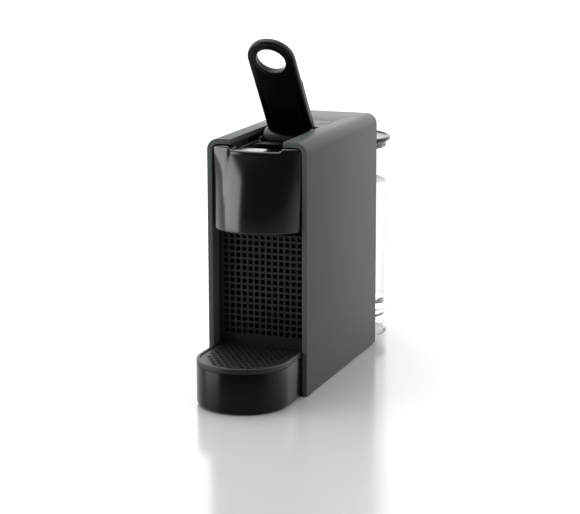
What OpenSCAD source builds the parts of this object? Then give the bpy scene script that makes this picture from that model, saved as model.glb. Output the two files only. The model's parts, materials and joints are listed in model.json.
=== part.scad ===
// Compact pod coffee machine with a lever head, side-wrapped shell and rear water tank.
// Millimetres, +Z up. Origin: floor level, middle of the overall length and width. -Y is the front.
// Inside the modules y is counted from the shell's front edge; placed() moves each piece to the origin.

/* [Body] */
// Width of the shell
body_w = 84; // [76:0.5:96]
// Height of the shell above the floor
body_h = 205; // [190:1:225]
// Depth of the shell, front edge to rear edge
body_d = 181; // [178:1:215]
// Wall thickness of the shell
shell_t = 4; // [3:0.25:5]
// Outer radius of the shell's long edges
edge_r = 9; // [5:0.5:14]
// Half-width of the lever slot in the shell's top
slot_hw = 22.3; // [22:0.1:26]

/* [Tray] */
// Gap between the tray's side and the shell
tray_gap = 0.4; // [0.2:0.05:1]
// How far the tray reaches in front of the shell
tray_reach = 67; // [60:1:80]
// Height of the drip grid's top
grid_top = 37.5; // [34:0.5:42]

/* [Head] */
// Bulge of the head at its lower edge
head_bulge = 23; // [16:0.5:28]
// Bulge of the head at its top edge
head_top_bulge = 8; // [4:0.5:14]
// Height of the head's lower edge
head_z = 134.3; // [133:0.1:140]

/* [Lever] */
// Distance from the hinge to the centre of the finger hole
ring_at = 85.2; // [76:0.2:92]
// Radius of the finger hole
ring_hole_r = 12.2; // [10:0.1:14]
// Angle the lever is raised at rest
lever_up = 54; // [54:1:54]

/* [Tank] */
// Outer radius of the tank's wall at the top
tank_r = 38.5; // [35:0.25:39]
// Height of the tank's lid
tank_top = 178.4; // [165:0.5:200]
// Thickness of the tank's wall
tank_t = 2; // [1.6:0.1:3]

/* [Hidden] */
$fn = 64;
hw = body_w / 2;
in_w = hw - shell_t;
in_h = body_h - shell_t;
fw = in_w - 2.5;
bin_w = in_w - 1.6;
head_w = in_w - 1;
tray_r = in_w - tray_gap;
sy = body_d - 181;
axis_y = 75.6;
axis_z = body_h - 15;
cage_z = axis_z - 34;
pin_z = axis_z - 25;
pin_y = axis_y + 10;
cam_rate = 24 / (54 * PI / 180);
tray_cy = tray_r - tray_reach;
tank_cy = body_d + 3.8 + tank_r;
dock_r = tank_r - 13.5;
tb_z = cage_z - 72;
box_top = in_h - edge_r + shell_t;
mid_y = (tank_cy + tank_r + 1.2 - tray_reach) / 2;
eps = 0.01;

grey = [0.34, 0.36, 0.35];
black = [0.03, 0.03, 0.03];
steel = [0.7, 0.7, 0.72];

// Moves a piece from the shell-front origin used below to the origin of the whole object.
module placed() {
  translate([0, -mid_y, 0]) children();
}

module box(x0, x1, y0, y1, z0, z1) {
  translate([x0, y0, z0]) cube([x1 - x0, y1 - y0, z1 - z0]);
}

module along_y(y0, y1) {
  translate([0, y1, 0]) rotate([90, 0, 0]) linear_extrude(y1 - y0) children();
}

module along_x(x0, x1) {
  translate([x0, 0, 0]) rotate([90, 0, 90]) linear_extrude(x1 - x0) children();
}

module rod_y(r, y0, y1, x = 0, z = 0) {
  translate([x, y1, z]) rotate([90, 0, 0]) cylinder(r = r, h = y1 - y0);
}

module rod_x(r, x0, x1, y = 0, z = 0) {
  translate([x0, y, z]) rotate([0, 90, 0]) cylinder(r = r, h = x1 - x0);
}

// Upright profile with two rounded top corners, seen from the front.
module arch(w, h, r, z0 = 0) {
  translate([-w, z0]) square([2 * w, h - r - z0]);
  translate([-w + r, h - r - 1]) square([2 * (w - r), r + 1]);
  translate([-w + r, h - r]) circle(r = r);
  translate([w - r, h - r]) circle(r = r);
}

module rounded(w, d, r) {
  translate([-w / 2 + r, -d / 2]) square([w - 2 * r, d]);
  translate([-w / 2, -d / 2 + r]) square([w, d - 2 * r]);
  for (x = [-1, 1]) {
    for (y = [-1, 1]) {
      translate([x * (w / 2 - r), y * (d / 2 - r)]) circle(r = r);
    }
  }
}

// Round-ended plan of the tray: half circle in front, straight sides to y1.
module tray_plan(r, y1) {
  intersection() {
    translate([0, tray_cy]) circle(r = r);
    translate([-r - 1, tray_cy - r - 1]) square([2 * r + 2, r + 2]);
  }
  translate([-r, tray_cy]) square([2 * r, y1 - tray_cy]);
}

// ---------- shell and base ----------
module outer_shell() {
  color(grey) placed() difference() {
    along_y(0, body_d) arch(hw, body_h, edge_r, 0.8);
    along_y(-1, body_d + 1) arch(in_w, in_h, edge_r - shell_t, -1);
    box(-slot_hw, slot_hw, -1, 82.5 + shell_t, in_h - 20, body_h + 1);
    for (x = [-12.5, 12.5]) {
      translate([x, 111, in_h - 1]) linear_extrude(shell_t + 2) rounded(20.8, 24.8, 4.4);
    }
  }
}

module base_plate() {
  color(black) placed() difference() {
    union() {
      box(-in_w, in_w, 2, 177 + sy, 2, 5);
      box(-10, 10, 176 + sy, tank_cy, 2, 7);
      translate([0, tank_cy, 2]) cylinder(r = dock_r, h = 5);
    }
    for (y = [60, 140]) {
      for (x = [-20, 20]) {
        translate([x, y, 1]) cylinder(r = 3, h = 5);
      }
    }
  }
}

module rubber_feet() {
  color([0.05, 0.05, 0.05]) placed() {
    for (y = [15, 165 + sy]) {
      for (x = [-28, 28]) {
        translate([x, y, 0]) cylinder(r = 6, h = 2);
      }
    }
    translate([0, tank_cy + 12, 0]) cylinder(r = 6, h = 2);
  }
}

module tank_dock() {
  color(black) placed() translate([0, tank_cy, 0]) {
    difference() {
      translate([0, 0, 7]) cylinder(r1 = dock_r, r2 = dock_r - 1, h = 10);
      translate([0, 0, 9]) cylinder(r = 11, h = 9);
    }
    translate([0, 0, 8.5]) cylinder(r = 2.2, h = 5.3);
  }
}

module dock_seal() {
  color([0.1, 0.1, 0.1]) placed() translate([0, tank_cy, 9]) difference() {
    cylinder(r = 11, h = 5);
    translate([0, 0, -1]) cylinder(r = 8.5, h = 7);
  }
}

module side_frame(s) {
  color([0.12, 0.12, 0.12]) placed() difference() {
    union() {
      box(s > 0 ? fw : -in_w, s > 0 ? in_w : -fw, 6, 96, head_z - 3.2, box_top - 0.1);
      box(s > 0 ? fw : -in_w, s > 0 ? in_w : -fw, 96, 176.5 + sy, 5, box_top - 0.1);
      for (z = [8, box_top - 16]) {
        box(s > 0 ? fw - 7.5 : -fw - 0.1, s > 0 ? fw + 0.1 : 7.5 - fw, 164 + sy, 176.5 + sy, z, z + 9);
      }
    }
    rod_x(4, -60, 60, axis_y, axis_z);
    for (z = [12.5, box_top - 11.5]) {
      rod_y(1.5, 165 + sy, 190 + sy, s * (fw - 4), z);
    }
    rod_x(12, -60, 60, 135, 45);
  }
}

module left_frame() {
  side_frame(-1);
}

module right_frame() {
  side_frame(1);
}

module bulkhead() {
  color([0.12, 0.12, 0.12]) placed() box(-fw, fw, 94, 96, 5, cage_z - 6);
}

module rear_cover() {
  color(black) placed() difference() {
    along_y(177 + sy, body_d) arch(in_w, in_h, edge_r - shell_t, 0.8);
    box(-10.4, 10.4, 170 + sy, body_d + 1, 0, 7.4);
    for (i = [0:8]) {
      box(-18, 18, 170 + sy, body_d + 1, 60 + 9 * i, 64 + 9 * i);
    }
    rod_y(6, 170 + sy, body_d + 1, -24, 24);
    for (x = [4 - fw, fw - 4]) {
      for (z = [12.5, box_top - 11.5]) {
        rod_y(1.6, 170 + sy, body_d + 1, x, z);
      }
    }
  }
}

module rear_screws() {
  color(steel) placed() {
    for (x = [4 - fw, fw - 4]) {
      for (z = [12.5, box_top - 11.5]) {
        difference() {
          union() {
            rod_y(1.45, 168 + sy, body_d + 0.5, x, z);
            rod_y(2.8, body_d, body_d + 2, x, z);
          }
          box(x - 2, x + 2, body_d + 1.2, body_d + 3, z - 0.4, z + 0.4);
          box(x - 0.4, x + 0.4, body_d + 1.2, body_d + 3, z - 2, z + 2);
        }
      }
    }
  }
}

module cord_gland() {
  color(black) placed() difference() {
    union() {
      rod_y(5.9, 174 + sy, body_d + 1, -24, 24);
      rod_y(9, body_d, body_d + 2, -24, 24);
      rod_y(5.2, body_d + 1, body_d + 9, -24, 24);
      rod_y(8, 173.5 + sy, 177 + sy, -24, 24);
    }
    rod_y(3, 170 + sy, body_d + 12, -24, 24);
  }
}

// ---------- head ----------
function head_b(t) = head_bulge + (head_top_bulge - head_bulge) * (0.25 * t + 0.75 * pow(t, 2.1));
function head_pt(u, b, d) = let(
    r = (head_w * head_w + b * b) / (2 * b),
    a = asin(head_w / r) * u
  ) [(r - d) * sin(a), 1 - b + r - (r - d) * cos(a)];

module head_cover() {
  nu = 36;
  nz = 22;
  pts = [for (d = [0, 2.5]) for (k = [0:nz]) for (i = [0:nu])
    let(t = k / nz, p = head_pt(2 * i / nu - 1, head_b(t), d), s = (abs(p[0]) - 20.8) / 1.6,
      top = in_h - 3 + 2.4 * max(0, min(1, s)))
    [p[0], p[1], head_z + (top - head_z) * t]];
  row = nu + 1;
  lay = row * (nz + 1);
  outer = [for (k = [0:nz - 1]) for (i = [0:nu - 1])
    [k * row + i, (k + 1) * row + i, (k + 1) * row + i + 1, k * row + i + 1]];
  inner = [for (k = [0:nz - 1]) for (i = [0:nu - 1])
    [lay + k * row + i, lay + k * row + i + 1, lay + (k + 1) * row + i + 1, lay + (k + 1) * row + i]];
  bottom = [for (i = [0:nu - 1]) [i, i + 1, lay + i + 1, lay + i]];
  cap = [for (i = [0:nu - 1])
    [nz * row + i, lay + nz * row + i, lay + nz * row + i + 1, nz * row + i + 1]];
  left = [for (k = [0:nz - 1]) [k * row, lay + k * row, lay + (k + 1) * row, (k + 1) * row]];
  right = [for (k = [0:nz - 1])
    [k * row + nu, (k + 1) * row + nu, lay + (k + 1) * row + nu, lay + k * row + nu]];
  quads = concat(outer, inner, bottom, cap, left, right);
  tris = [for (q = quads) for (f = [[q[0], q[1], q[2]], [q[0], q[2], q[3]]]) f];
  color(black) placed() polyhedron(points = pts, faces = tris);
}

module head_floor() {
  color(black) placed() difference() {
    intersection() {
      r = (head_w * head_w + head_bulge * head_bulge) / (2 * head_bulge);
      translate([0, 1 - head_bulge + r, head_z + 0.5]) cylinder(r = r - 3.4, h = 2);
      box(-fw, fw, -40, 12.8, head_z, head_z + 5);
    }
    translate([0, 2, head_z - 5]) cylinder(r = 8, h = 20);
  }
}

module spout() {
  color(black) placed() translate([0, 2, 0]) difference() {
    union() {
      translate([0, 0, head_z - 3.8]) cylinder(r1 = 6.2, r2 = 7.6, h = 3.8);
      translate([0, 0, head_z - eps]) cylinder(r = 7.6, h = 3.6);
    }
    translate([0, 0, head_z - 5]) cylinder(r = 4, h = 20);
  }
}

module coffee_collector() {
  color([0.1, 0.1, 0.1]) placed() difference() {
    union() {
      rod_y(18, 4, 13, 0, cage_z);
      box(-8, 8, 3, 13, head_z + 7, cage_z - 10);
      box(-fw, fw, 8, 13, head_z + 7, cage_z - 7.7);
    }
    rod_y(15, 7, 14, 0, cage_z);
    translate([0, 7.9, head_z + 2]) cylinder(r = 2, h = cage_z - head_z - 10);
  }
}

module extraction_plate() {
  color(steel) placed() difference() {
    rod_y(17.9, 13, 16, 0, cage_z);
    for (i = [-2:2]) {
      for (k = [-2:2]) {
        rod_y(0.8, 12, 17, 5 * i, cage_z + 5 * k);
      }
    }
  }
}

module brew_housing() {
  color([0.1, 0.1, 0.1]) placed() difference() {
    union() {
      box(-23.4, 23.4, 45, 57, cage_z - 18.5, cage_z + 20);
      box(-fw, fw, 45, 57, cage_z - 18.5, cage_z - 7);
      for (s = [-1, 1]) {
        box(s > 0 ? 27 : -fw, s > 0 ? fw : -27, 13, 46, cage_z - 14, cage_z - 7);
      }
    }
    rod_y(17.57, 40, 60, 0, cage_z);
    rod_x(1.6, -60, 60, 50, cage_z - 12);
  }
}

module capsule_guides() {
  color([0.1, 0.1, 0.1]) placed() {
    for (s = [-1, 1]) {
      box(s > 0 ? 19 : -fw, s > 0 ? fw : -19, 13, 16, cage_z + 2, cage_z + 34);
      box(s > 0 ? 19 : -21, s > 0 ? 21 : -19, 16, 20.5, cage_z + 2, cage_z + 34);
    }
  }
}

module top_deck() {
  color(black) placed() difference() {
    union() {
      box(-fw, fw, 2.2, 41, body_h - 13, body_h - 10);
      box(-22.2, 22.2, 40, 58.5, body_h - 13, body_h - 10);
      for (s = [-1, 1]) {
        x = s * (slot_hw + 0.95);
        box(x - 0.75, x + 0.75, 2.2, 41, body_h - 10.1, in_h);
      }
    }
    translate([0, 33, body_h - 20]) linear_extrude(20) rounded(38, 28, 6);
    box(-17, 17, 1, 13.2, body_h - 14, body_h - 12);
  }
}

// ---------- water path and electrics ----------
module water_sleeve() {
  color([0.75, 0.6, 0.3]) placed() difference() {
    union() {
      box(-8, 8, 94, 99, cage_z - 6, cage_z + 7);
      rod_y(6, 94, 131, 0, cage_z);
      translate([0, 126, cage_z - 14]) cylinder(r = 4, h = 12);
    }
    rod_y(3.05, 90, 129.5, 0, cage_z);
    translate([0, 126, cage_z - 16]) cylinder(r = 1.5, h = 16);
  }
}

module thermoblock() {
  color([0.6, 0.6, 0.62]) placed() difference() {
    union() {
      box(-27, 27, 108, 166, tb_z, tb_z + 54);
      box(-fw, fw, 120, 128, tb_z + 14, tb_z + 22);
      box(-fw, fw, 148, 156, tb_z + 14, tb_z + 22);
      translate([0, 126, tb_z + 53]) cylinder(r = 5, h = 5);
      rod_y(5, 104, 109, 12, tb_z + 8);
    }
    for (i = [0:5]) {
      box(-28, -24, 107, 167, tb_z + 4 + 8.4 * i, tb_z + 7 + 8.4 * i);
      box(24, 28, 107, 167, tb_z + 4 + 8.4 * i, tb_z + 7 + 8.4 * i);
    }
    translate([0, 126, tb_z + 46]) cylinder(r = 1.5, h = 20);
    rod_y(1.5, 100, 120, 12, tb_z + 8);
  }
}

module heater_terminals() {
  color(steel) placed() {
    for (x = [-14, 14]) {
      translate([x, 158, tb_z + 54]) cylinder(r = 3, h = 3);
      box(x - 3, x + 3, 157.6, 158.4, tb_z + 56.5, tb_z + 65);
    }
  }
}

module thermostats() {
  color([0.2, 0.2, 0.2]) placed() {
    for (y = [114, 146]) {
      for (x = [-16, 16]) {
        translate([x, y, tb_z + 54]) cylinder(r = 6, h = 5);
        box(x - 2.5, x + 2.5, y - 0.4, y + 0.4, tb_z + 58.5, tb_z + 66);
      }
    }
  }
}

module pump_tube() {
  color([0.75, 0.7, 0.6]) placed() difference() {
    union() {
      rod_y(8, 104, 170, -8, 38);
      rod_y(4, 98.5, 106, -8, 38);
      rod_y(4, 168, 174, -8, 38);
      rod_y(11, 110, 113, -8, 38);
      rod_y(11, 163, 166, -8, 38);
    }
    rod_y(6.05, 108, 166, -8, 38);
    rod_y(1.5, 95, 176, -8, 38);
  }
}

module pump_coil() {
  color([0.5, 0.2, 0.1]) placed() difference() {
    box(-26, 10, 120, 156, 20, 56);
    rod_y(8, 110, 170, -8, 38);
  }
}

module pump_mounts() {
  color([0.08, 0.08, 0.08]) placed() {
    for (y = [115, 158]) {
      difference() {
        box(-20, 4, y, y + 4, 5, 50);
        rod_y(8, 100, 170, -8, 38);
      }
    }
  }
}

module pump_plunger() {
  color(steel) placed() difference() {
    union() {
      rod_y(6, 124, 150, -8, 38);
      rod_y(3, 116, 125, -8, 38);
    }
    rod_y(1.2, 110, 155, -8, 38);
  }
}

module flow_body() {
  color([0.85, 0.85, 0.85]) placed() translate([22, 148, 0]) difference() {
    union() {
      translate([0, 0, 5]) cylinder(r = 10.5, h = 12);
      translate([0, -2.6, 0]) rod_y(3, -24, -7, 0, 11);
    }
    difference() {
      translate([0, 0, 7]) cylinder(r = 9, h = 12);
      cylinder(r = 0.75, h = 9.5);
    }
    translate([0, -2.6, 0]) rod_y(1.5, -30, -5, 0, 11);
  }
}

module flow_cap() {
  color([0.85, 0.85, 0.85]) placed() translate([22, 148, 17]) {
    cylinder(r = 10.5, h = 2);
  }
}

module flow_impeller() {
  color([0.9, 0.4, 0.1]) placed() translate([22, 148, 8]) {
    difference() {
      cylinder(r = 2.5, h = 8);
      translate([0, 0, -1]) cylinder(r = 0.8, h = 3);
    }
    for (a = [0:60:300]) {
      rotate([0, 0, a]) translate([2.2, -0.5, 0]) cube([6, 1, 7]);
    }
  }
}

module hose(pts, r) {
  for (i = [0:len(pts) - 2]) {
    p = pts[i];
    q = pts[i + 1];
    if (p[0] != q[0]) {
      rod_x(r, min(p[0], q[0]), max(p[0], q[0]), p[1], p[2]);
    } else if (p[1] != q[1]) {
      rod_y(r, min(p[1], q[1]), max(p[1], q[1]), p[0], p[2]);
    } else {
      translate([p[0], p[1], min(p[2], q[2])]) cylinder(r = r, h = abs(q[2] - p[2]));
    }
  }
  for (i = [1:1:len(pts) - 2]) {
    translate(pts[i]) cube(2 * r + 1.2, center = true);
  }
}

module feed_hose() {
  color([0.8, 0.8, 0.75]) placed() {
    hose([[22, 121.4, 11], [22, 101, 11], [-8, 101, 11], [-8, 101, 34]], 2.2);
    hose([[0, 176 + sy, 9], [0, 169, 9], [22, 169, 9], [22, 158.6, 9]], 2.2);
  }
}

module pressure_hose() {
  color([0.8, 0.8, 0.75]) placed() {
    hose([[-8, 172.6, 42], [-8, 172.6, tb_z - 12], [30.5, 172.6, tb_z - 12],
      [30.5, 101, tb_z - 12], [30.5, 101, tb_z + 8],
      [12, 101, tb_z + 8], [12, 104, tb_z + 8]], 2.2);
  }
}

module control_board() {
  color([0.1, 0.35, 0.15]) placed() {
    box(-fw, fw, 124, 164, body_h - 31, body_h - 29.4);
  }
}

module board_components() {
  z = body_h - 29.4;
  color([0.15, 0.15, 0.2]) placed() {
    box(-30, -14, 130, 146, z, z + 12);
    box(-8, 4, 130, 150, z, z + 10);
    translate([14, 136, z]) cylinder(r = 5, h = 14);
    translate([26, 136, z]) cylinder(r = 4, h = 10);
    box(10, 30, 148, 158, z, z + 8);
  }
}

module button_board() {
  color([0.1, 0.35, 0.15]) placed() {
    box(-23.3, 23.3, 99, 123.5, body_h - 17.6, body_h - 16);
    box(-3, 3, 103, 119, body_h - 31, body_h - 17.6);
    box(-3, 3, 118, 124, body_h - 31, body_h - 29.4);
  }
}

module tact_switches() {
  color([0.1, 0.1, 0.1]) placed() {
    for (x = [-12.5, 12.5]) {
      box(x - 3, x + 3, 108, 114, body_h - 16, body_h - 12);
    }
  }
}

module button(x) {
  color(grey) placed() translate([x, 111, 0]) {
    translate([0, 0, body_h - 7]) linear_extrude(7) rounded(20, 24, 4);
    translate([0, 0, body_h - 8.5]) linear_extrude(2.5) rounded(22, 26.5, 4);
    translate([0, 0, body_h - 10.8]) cylinder(r = 2.5, h = 3);
  }
}

module espresso_button() {
  button(-12.5);
}

module lungo_button() {
  button(12.5);
}

// ---------- lever (drawn closed about its hinge, then raised) ----------
module raised() {
  translate([0, axis_y, axis_z]) rotate([-lever_up, 0, 0]) children();
}

module lever_frame() {
  color(black) placed() raised() difference() {
    union() {
      translate([-20, -ring_at, 8.4]) cube([40, ring_at, 6.6]);
      translate([0, -ring_at, 8.4]) cylinder(r = 19.5, h = 6.6);
      rod_x(15, -20, 20);
    }
    translate([0, -ring_at, 0]) cylinder(r = ring_hole_r, h = 20);
    rod_x(4, -30, 30);
    translate([-17, -58, 13.8]) cube([34, 56, 3]);
    translate([-16, -60, 7]) cube([32, 40, 3.6]);
    for (s = [-1, 1]) {
      translate([s > 0 ? 19.5 : -23.5, -ring_at - 22, 0]) cube([4, 30, 20]);
    }
  }
}

module lever_cover() {
  color(grey) placed() raised() translate([-16.9, -57.9, 13.8]) cube([33.8, 55.8, 1.2]);
}

module lever_axle() {
  color(steel) placed() difference() {
    rod_x(3.95, -fw - 1.5, fw + 1.5, axis_y, axis_z);
  }
}

function cam_c(q) = let(y = 10 - cam_rate * q * PI / 180, z = -25)
  [y * cos(q) + z * sin(q), -y * sin(q) + z * cos(q)];
function cam_n(q) = let(a = cam_c(q - 0.5), b = cam_c(q + 0.5), d = b - a) [-d[1], d[0]] / norm(d);
function unit2(v) = v / norm(v);

module cam_slot(w) {
  qs = [for (i = [0:24]) -1 + 56 * i / 24];
  polygon(concat([for (q = qs) cam_c(q) + w * cam_n(q)],
    [for (i = [24:-1:0]) cam_c(qs[i]) - w * cam_n(qs[i])]));
  translate(cam_c(-1)) circle(r = w);
  translate(cam_c(55)) circle(r = w);
}

module lever_cams() {
  color(steel) placed() translate([0, axis_y, axis_z]) {
    for (x = [-27, 20.4]) {
      translate([x < 0 ? x : 24, 0, 0]) rotate([90, 0, 90]) linear_extrude(3) difference() {
        union() {
          circle(r = 9);
          polygon([[0, 6], cam_c(55) + [-4, 4], unit2(cam_c(50)) * 34, unit2(cam_c(40)) * 34,
            unit2(cam_c(30)) * 34, unit2(cam_c(20)) * 34, unit2(cam_c(10)) * 34,
            unit2(cam_c(0)) * 34, cam_c(-1) + [5, -5], cam_c(-1) + [6, 0], [8, -2]]);
        }
        circle(r = 3.95);
        cam_slot(2.9);
      }
      difference() {
        rod_x(7, x < 0 ? -24 : 20, x < 0 ? -20 : 24);
        rod_x(3.95, -40, 40);
      }
    }
  }
}

// ---------- capsule carriage ----------
module capsule_cage() {
  color([0.6, 0.6, 0.62]) placed() difference() {
    rod_y(17.5, 45, 83, 0, cage_z);
    rod_y(15.5, 44, 71, 0, cage_z);
    rod_y(15.5, 75, 84, 0, cage_z);
    rod_y(3, 60, 90, 0, cage_z);
    for (a = [90:120:330]) {
      rod_y(1, 60, 90, 9 * cos(a), cage_z + 9 * sin(a));
    }
  }
}

module cage_seal() {
  color([0.1, 0.1, 0.1]) placed() difference() {
    rod_y(17.4, 43, 45, 0, cage_z);
    rod_y(15.6, 42, 46, 0, cage_z);
  }
}

module piercing_needles() {
  color(steel) placed() {
    for (a = [90:120:330]) {
      x = 9 * cos(a);
      z = cage_z + 9 * sin(a);
      rod_y(1, 66, 74.5, x, z);
      translate([x, 66, z]) rotate([90, 0, 0]) cylinder(r1 = 1, r2 = 0.2, h = 4);
    }
  }
}

module carriage_yoke() {
  color([0.1, 0.1, 0.1]) placed() difference() {
    union() {
      box(-23.3, 23.3, 83, 89, cage_z - 8, cage_z + 14);
      box(-14, 14, 81, 83, cage_z - 6, cage_z + 5);
    }
    rod_y(3, 70, 99, 0, cage_z);
    rod_x(2.5, -40, 40, pin_y, pin_z);
    rod_y(20, 81, 83, 0, cage_z + 40);
  }
}

module carriage_pin() {
  color(steel) placed() rod_x(2.5, -28.5, 28.5, pin_y, pin_z);
}

module inlet_pipe() {
  color([0.75, 0.6, 0.3]) placed() difference() {
    rod_y(3, 72, 128, 0, cage_z);
    rod_y(1.5, 70, 130, 0, cage_z);
  }
}

// ---------- tray, container and grid ----------
// Half section of the tray's wall and floor edge; the lower corner is a round of 4.5 mm.
function tray_side(w, top) = concat([[0, 1], [w - 4.5, 1]],
  [for (a = [11.25:11.25:78.75]) [w - 4.5 + 4.5 * sin(a), 5.5 - 4.5 * cos(a)]],
  [[w, 5.5], [w, top], [0, top]]);

module drip_tray() {
  wall_top = grid_top - 4.5;
  side = in_w - 0.7;
  color(black) placed() difference() {
    union() {
      translate([0, tray_cy, 0]) rotate([0, 0, 180]) rotate_extrude(angle = 180) {
        polygon(tray_side(tray_r, wall_top));
      }
      along_y(tray_cy, 1.5) polygon(tray_side(tray_r, wall_top));
      along_y(tray_cy, 1.5) mirror([1, 0]) polygon(tray_side(tray_r, wall_top));
      box(-side, side, 1, 12.3, 5.3, wall_top);
      box(-side, side, 12.3, 93.2, 5.3, grid_top - 0.5);
    }
    translate([0, tray_cy, 3.5]) cylinder(r = tray_r - 2.4, h = 50);
    box(2.4 - tray_r, tray_r - 2.4, tray_cy, -1, 3.5, 60);
    box(2.4 - tray_r, tray_r - 2.4, -2, 91.4, 8, 60);
  }
}

module capsule_container() {
  c = tray_r - 2.5;
  z1 = grid_top - 0.5;
  top = head_z - 6.3;
  color(black) placed() difference() {
    union() {
      box(-c, c, 14.5, 91.2, 8, z1 + 1);
      box(-bin_w, bin_w, 14.5, 92, z1, top);
    }
    box(-c + 1.7, c - 1.7, 16.2, 89.6, 9.8, top + 5);
    box(-(bin_w - 1.7), (bin_w - 1.7), 16.2, 90.3, z1 + 2, top + 5);
    box(-(bin_w - 1.7), (bin_w - 1.7), 14, 17, z1 + 8, top - 3);
  }
}

module container_grille() {
  top = head_z - 6.3;
  n = 16;
  z_mid = 86;
  color(black) placed() along_y(12.5, 14.5) difference() {
    translate([-bin_w, grid_top - 0.5]) square([2 * bin_w, top - grid_top + 0.5]);
    for (i = [0:12]) {
      for (k = [0:n - 1]) {
        translate([5.25 * (i - 6) - 1.3, z_mid + 5.25 * (k - 7.5) - 1.3]) square(2.6);
      }
    }
  }
}

module drip_grid() {
  z0 = grid_top - 4.5;
  color([0.08, 0.08, 0.08]) placed() {
    difference() {
      translate([0, 0, z0]) linear_extrude(4.5) tray_plan(tray_r, 12.1);
      translate([0, 0, z0 - 1]) linear_extrude(2.5) tray_plan(tray_r - 3, 9.1);
      translate([0, 0, z0 + 3.9]) linear_extrude(2) tray_plan(tray_r - 3, 9.1);
      translate([0, 0, z0 - 1]) linear_extrude(9) {
        for (r = [0:8]) {
          y = 4.6 - 8 * r;
          half = y > tray_cy ? 31 : sqrt(max(0, pow(tray_r - 6.5, 2) - pow(y - tray_cy, 2)));
          m = floor((half - 3) / 8);
          if (m >= 0) {
            for (i = [-m:m]) {
              translate([8 * i, y]) rotate([0, 0, 45]) square(4.6, center = true);
            }
          }
        }
      }
    }
  }
}

// ---------- tank and lid ----------
module water_tank() {
  h = tank_top - 3.2;
  b = tank_r - 1.4;
  color([0.75, 0.85, 0.9, 0.35]) placed() translate([0, tank_cy, 0]) difference() {
    translate([0, 0, 1]) cylinder(r1 = b, r2 = tank_r, h = h - 1);
    translate([0, 0, 20.5]) cylinder(r1 = b - tank_t + 0.2, r2 = tank_r - tank_t, h = h - 20);
    translate([0, 0, 0]) cylinder(r = b - tank_t, h = 18);
    translate([0, 0, 10]) cylinder(r = 8, h = 20);
    box(-10.8, 10.8, -60, 0, 0, 8);
  }
}

module valve_body() {
  color([0.2, 0.2, 0.2]) placed() translate([0, tank_cy, 0]) difference() {
    union() {
      translate([0, 0, 14.5]) cylinder(r = 8, h = 6);
      translate([0, 0, 20.5]) cylinder(r = 10, h = 1.5);
    }
    translate([0, 0, 10]) cylinder(r = 5, h = 9);
    translate([0, 0, 18]) cylinder(r = 3, h = 5);
  }
}

module valve_poppet() {
  color([0.8, 0.8, 0.8]) placed() translate([0, tank_cy, 0]) {
    translate([0, 0, 16]) cylinder(r = 2.4, h = 8);
    translate([0, 0, 23]) cylinder(r = 5.5, h = 1.2);
  }
}

module valve_seal() {
  color([0.1, 0.1, 0.1]) placed() translate([0, tank_cy, 22]) difference() {
    cylinder(r = 5.2, h = 1);
    translate([0, 0, -1]) cylinder(r = 3.4, h = 3);
  }
}

module tank_lid() {
  z = tank_top - 3.2;
  color(black) placed() translate([0, tank_cy, 0]) difference() {
    union() {
      translate([0, 0, z]) cylinder(r = tank_r + 1.2, h = 2.6);
      translate([0, 0, z]) cylinder(r = tank_r - 0.8, h = 3.2);
      translate([0, 0, z - 6]) cylinder(r = tank_r - tank_t - 0.6, h = 6.5);
    }
    translate([0, 0, z - 7]) cylinder(r = tank_r - tank_t - 2.6, h = 7.6);
    translate([0, 0, z - 3.8]) rotate_extrude() translate([tank_r - tank_t, 0]) circle(r = 1.3);
  }
}

module lid_seal() {
  color([0.3, 0.3, 0.3]) placed() translate([0, tank_cy, tank_top - 7]) rotate_extrude() {
    intersection() {
      translate([tank_r - tank_t, 0]) circle(r = 1.3);
      translate([tank_r - tank_t - 2, -2]) square([1.6, 4]);
    }
  }
}

outer_shell();
base_plate();
rubber_feet();
tank_dock();
dock_seal();
left_frame();
right_frame();
bulkhead();
rear_cover();
rear_screws();
cord_gland();
head_cover();
head_floor();
spout();
coffee_collector();
extraction_plate();
brew_housing();
capsule_guides();
top_deck();
water_sleeve();
thermoblock();
heater_terminals();
thermostats();
pump_tube();
pump_coil();
pump_mounts();
pump_plunger();
flow_body();
flow_cap();
flow_impeller();
feed_hose();
pressure_hose();
control_board();
board_components();
button_board();
tact_switches();
espresso_button();
lungo_button();
lever_frame();
lever_cover();
lever_axle();
lever_cams();
capsule_cage();
cage_seal();
piercing_needles();
carriage_yoke();
carriage_pin();
inlet_pipe();
drip_tray();
capsule_container();
container_grille();
drip_grid();
water_tank();
valve_body();
valve_poppet();
valve_seal();
tank_lid();
lid_seal();
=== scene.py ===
"""Pod coffee machine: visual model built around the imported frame, in metres, -Y at the front."""

import json
import logging
import math
from collections.abc import Callable
from dataclasses import dataclass
from enum import Enum
from typing import ClassVar

import bmesh
import bpy
from mathutils import Matrix, Vector


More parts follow.
